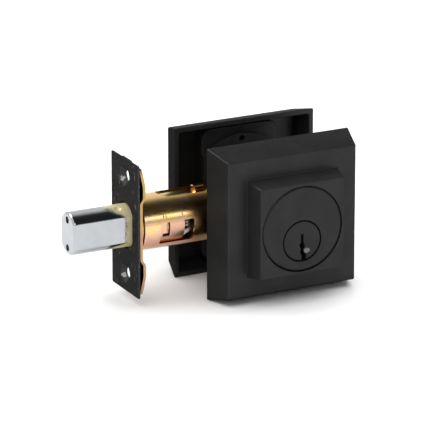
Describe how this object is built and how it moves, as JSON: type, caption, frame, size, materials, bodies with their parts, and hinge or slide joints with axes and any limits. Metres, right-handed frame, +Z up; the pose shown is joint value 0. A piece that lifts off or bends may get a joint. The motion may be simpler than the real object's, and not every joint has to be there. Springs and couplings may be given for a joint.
{
  "type": "deadbolt door lock",
  "caption": "Keyed deadbolt with square black trim on both sides of the door, a tubular bolt with a one-inch throw, its faceplate and an inside thumbturn.",
  "frame": {"origin": "centre of the door's cross bore, half way between the backs of the two roses, on the latch tube's axis", "axes": "+X from the door's edge into the door, so the bolt points to -X; -Y is the keyed side and +Y the thumbturn side; +Z up"},
  "size_m": [0.1213, 0.088, 0.0652],
  "materials": {
    "satin_black": "satin black powder coat on zinc die casting and steel",
    "satin_chrome": "satin chrome flats, brighter curved faces, brass-coloured at the root",
    "yellow_zinc": "yellow chromated zinc on rolled steel, faintly iridescent",
    "bright_steel": "bright zinc plate",
    "brass": "turned, unplated",
    "hardened_steel": "dark hardened steel",
    "white_nylon": "plain"
  },
  "bodies": {
    "root": {"exterior_rose": "satin_black", "cylinder_housing": "satin_black", "pin_chamber_cover": "brass", "driver_pin_1": "brass", "driver_pin_2": "brass", "driver_pin_3": "brass", "driver_pin_4": "brass", "driver_pin_5": "brass", "pin_spring_1": "bright_steel", "pin_spring_2": "bright_steel", "pin_spring_3": "bright_steel", "pin_spring_4": "bright_steel", "pin_spring_5": "bright_steel", "inner_sleeve": "yellow_zinc", "case_plate_outer": "yellow_zinc", "case_plate_inner": "yellow_zinc", "case_spacer_front": "bright_steel", "case_spacer_rear": "bright_steel", "detent_spring": "bright_steel", "detent_lever": "bright_steel"},
    "latch_front": {"faceplate": "satin_black", "backing_plate": "yellow_zinc", "bolt_guide": "brass", "bolt_tube": "yellow_zinc"},
    "bolt": {"bolt": "satin_chrome", "hardened_pin_upper": "hardened_steel", "hardened_pin_lower": "hardened_steel"},
    "drawbar": {"drawbar": "bright_steel"},
    "hub": {"hub_cam": "bright_steel", "tailpiece": "bright_steel"},
    "plug": {"cylinder_plug": "satin_black", "plug_cam": "bright_steel", "key_pin_1": "brass", "key_pin_2": "brass", "key_pin_3": "brass", "key_pin_4": "brass", "key_pin_5": "brass"},
    "interior": {"interior_rose": "satin_black", "mounting_plate": "satin_black", "mounting_screw_upper": "bright_steel", "mounting_screw_lower": "bright_steel", "rose_set_screw": "hardened_steel"},
    "thumbturn": {"thumbturn": "satin_black", "thumbturn_washer": "white_nylon", "thumbturn_clip": "bright_steel"}
  },
  "joints": [
    {"name": "door_thickness_adjust", "type": "slide", "parent": "root", "child": "interior", "axis": [0, 1, 0], "range_m": [0, 0.0145]},
    {"name": "thumbturn_turn", "type": "hinge", "parent": "interior", "child": "thumbturn", "pos_m": [0, 0.0305, -0.0054], "axis": [0, 1, 0], "range_deg": [0, 90]},
    {"name": "hub_turn", "type": "hinge", "parent": "root", "child": "hub", "pos_m": [0, 0, -0.0054], "axis": [0, 1, 0], "range_deg": [0, 90]},
    {"name": "drawbar_slide", "type": "slide", "parent": "root", "child": "drawbar", "axis": [1, 0, 0], "range_m": [0, 0.0254]},
    {"name": "backset_adjust", "type": "slide", "parent": "root", "child": "latch_front", "axis": [-1, 0, 0], "range_m": [-0.0024, 0.00715]},
    {"name": "bolt_throw", "type": "slide", "parent": "latch_front", "child": "bolt", "axis": [1, 0, 0], "range_m": [0, 0.0254]},
    {"name": "key_turn", "type": "hinge", "parent": "root", "child": "plug", "pos_m": [0, -0.0375, -0.0054], "axis": [0, 1, 0], "range_deg": [-90, 90]}
  ],
  "couplings": [
    {"joint": "hub_turn", "follows": "thumbturn_turn", "ratio": 1},
    {"joint": "drawbar_slide", "follows": "thumbturn_turn", "m_per_rad": 0.01617},
    {"joint": "bolt_throw", "follows": "thumbturn_turn", "m_per_rad": 0.01617}
  ]
}
